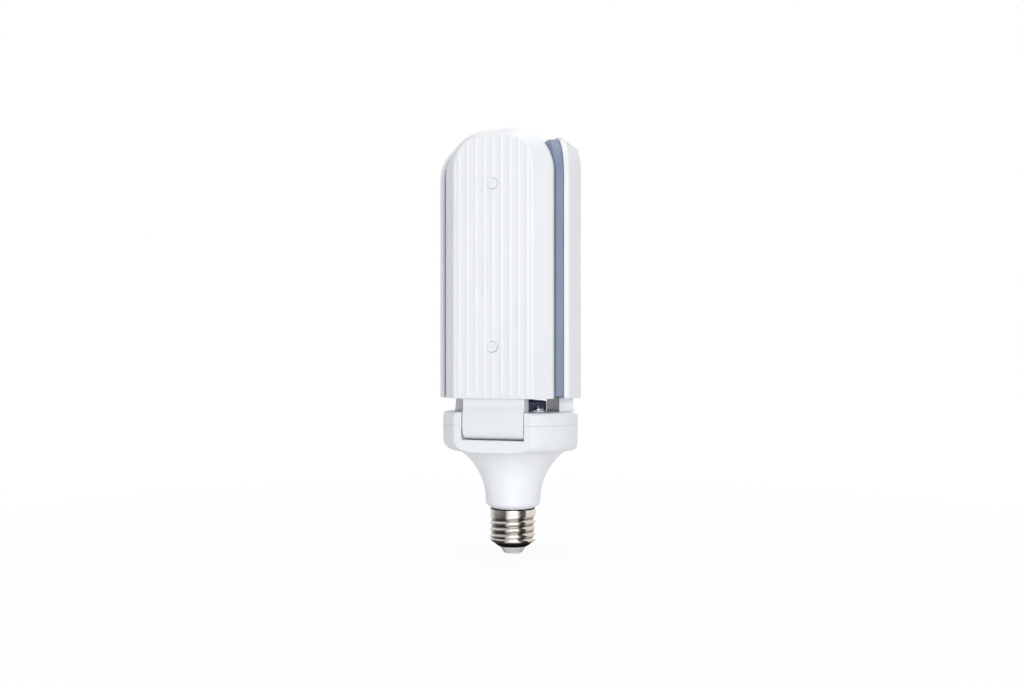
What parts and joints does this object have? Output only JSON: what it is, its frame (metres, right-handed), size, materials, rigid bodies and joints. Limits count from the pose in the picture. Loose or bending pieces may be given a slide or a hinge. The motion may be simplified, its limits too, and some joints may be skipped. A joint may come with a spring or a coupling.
{
  "type": "led bulb",
  "caption": "Folding LED bulb with a screw cap, whose ribbed light leaves swing out from the base on friction hinges.",
  "frame": {"origin": "middle of the centre contact's flat tip, at the foot of the screw cap", "axes": "+Z along the cap and up through the folded leaves; the first leaf faces -Y, the other two stand 120 degrees on, round +Z"},
  "size_m": [0.0832, 0.0765, 0.2362],
  "materials": {
    "cap_nickel": "nickel-plated rolled sheet, satin to bright",
    "contact_nickel": "nickel-plated, satin",
    "insulator_black": "black fired glass look, glossy",
    "housing_white": "moulded white, satin",
    "cover_white": "moulded white, satin",
    "arm_white": "moulded white, satin",
    "leaf_white": "moulded white, satin, ribbed",
    "plug_white": "moulded white, satin",
    "diffuser_frosted": "frosted translucent, cool grey when unlit",
    "lens_frosted": "frosted translucent, cool grey when unlit",
    "board_white": "aluminium core with white solder resist",
    "led_phosphor": "clear over yellow phosphor",
    "steel": "bright zinc-plated",
    "washer_grey": "dark fibre",
    "pcb_green": "glass-fibre board with green solder resist",
    "capacitor_sleeve": "shrunk sleeve",
    "ferrite_grey": "sintered ferrite with taped winding",
    "epoxy_black": "moulded epoxy",
    "fuse_green": "lacquered resistor body",
    "film_red": "moulded box",
    "choke_brown": "drum core with varnished winding",
    "lead_red": "insulated wire",
    "lead_blue": "insulated wire"
  },
  "bodies": {
    "base": {"cap_contact": "contact_nickel", "cap_insulator": "insulator_black", "cap_shell": "cap_nickel", "lower_housing": "housing_white", "upper_cover": "cover_white", "cover_screws": "steel", "centre_board": "board_white", "centre_leds": "led_phosphor", "centre_lens": "lens_frosted", "driver_board": "pcb_green", "driver_capacitor": "capacitor_sleeve", "driver_transformer": "ferrite_grey", "driver_rectifier": "epoxy_black", "driver_fuse": "fuse_green", "driver_film_capacitor": "film_red", "driver_choke": "choke_brown", "driver_chip": "epoxy_black", "live_lead": "lead_red", "neutral_lead": "lead_blue", "hinge_pin_1": "steel", "hinge_pin_2": "steel", "hinge_pin_3": "steel", "friction_washers_1": "washer_grey", "friction_washers_2": "washer_grey", "friction_washers_3": "washer_grey"},
    "leaf_1": {"hinge_arm_1": "arm_white", "leaf_shell_1": "leaf_white", "leaf_board_1": "board_white", "leaf_leds_1": "led_phosphor", "diffuser_1": "diffuser_frosted", "leaf_screws_1": "steel", "screw_plugs_1": "plug_white"},
    "leaf_2": {"hinge_arm_2": "arm_white", "leaf_shell_2": "leaf_white", "leaf_board_2": "board_white", "leaf_leds_2": "led_phosphor", "diffuser_2": "diffuser_frosted", "leaf_screws_2": "steel", "screw_plugs_2": "plug_white"},
    "leaf_3": {"hinge_arm_3": "arm_white", "leaf_shell_3": "leaf_white", "leaf_board_3": "board_white", "leaf_leds_3": "led_phosphor", "diffuser_3": "diffuser_frosted", "leaf_screws_3": "steel", "screw_plugs_3": "plug_white"}
  },
  "joints": [
    {"name": "leaf_1_hinge", "type": "hinge", "parent": "base", "child": "leaf_1", "pos_m": [0, -0.0277, 0.0709], "axis": [1, 0, 0], "range_deg": [0, 90]},
    {"name": "leaf_2_hinge", "type": "hinge", "parent": "base", "child": "leaf_2", "pos_m": [0.02399, 0.01385, 0.0709], "axis": [-0.5, 0.866, 0], "range_deg": [0, 90]},
    {"name": "leaf_3_hinge", "type": "hinge", "parent": "base", "child": "leaf_3", "pos_m": [-0.02399, 0.01385, 0.0709], "axis": [-0.5, -0.866, 0], "range_deg": [0, 90]}
  ]
}
